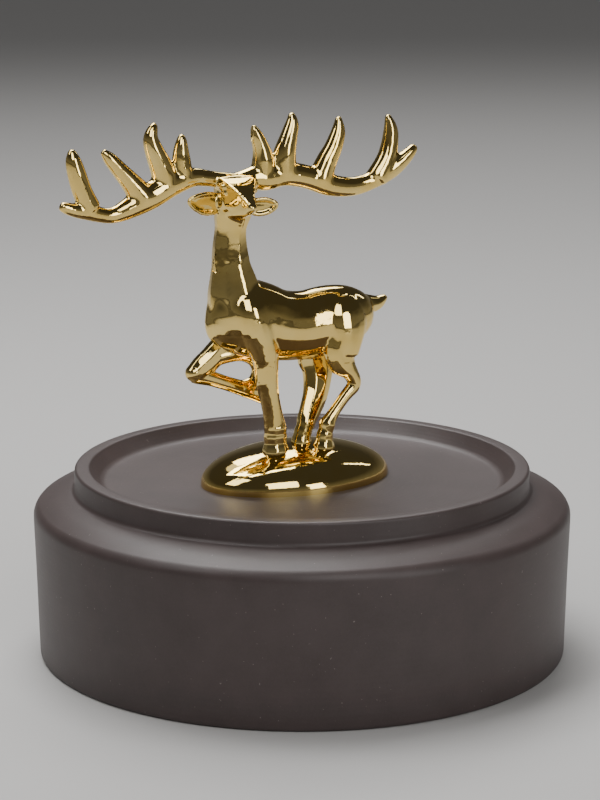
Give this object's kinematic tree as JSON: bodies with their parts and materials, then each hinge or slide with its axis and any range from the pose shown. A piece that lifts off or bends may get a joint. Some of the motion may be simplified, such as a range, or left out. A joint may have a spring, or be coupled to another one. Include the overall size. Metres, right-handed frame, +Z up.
{
  "type": "stag statuette on a round plinth",
  "caption": "Polished standing stag with wide branching antlers and a raised foreleg, on an oval domed mound that lifts out of the recess of a round matte clay plinth.",
  "frame": {"origin": "centre of the plinth's underside, on the surface it stands on", "axes": "+Z up, the stag's body runs along X with its chest towards -X and its tail towards +X, and its face looks towards -Y"},
  "size_m": [0.104, 0.104, 0.1048],
  "materials": {
    "gold": "mirror-polished gold plate over cast metal, slightly wavy",
    "brass": "plain turned brass",
    "clay": "matte unglazed fired clay, fine grain, faint turning lines",
    "felt": "thin pressed felt"
  },
  "bodies": {
    "plinth": {"plinth": "clay"},
    "statuette": {"mound": "gold", "mound_pad": "felt", "torso": "gold", "head": "gold", "antler_left": "gold", "antler_right": "gold", "ear_left": "gold", "ear_right": "gold", "tail": "gold", "foreleg_left": "gold", "foreleg_right": "gold", "hindleg_left": "gold", "hindleg_right": "gold", "neck_dowel": "brass", "leg_dowels": "brass", "antler_dowels": "brass", "hoof_studs": "brass", "stud_washers": "brass", "stud_nuts": "brass"}
  },
  "joints": [
    {"name": "statuette_lift", "type": "slide", "parent": "plinth", "child": "statuette", "axis": [0, 0, 1], "range_m": [0, 0.05]}
  ]
}
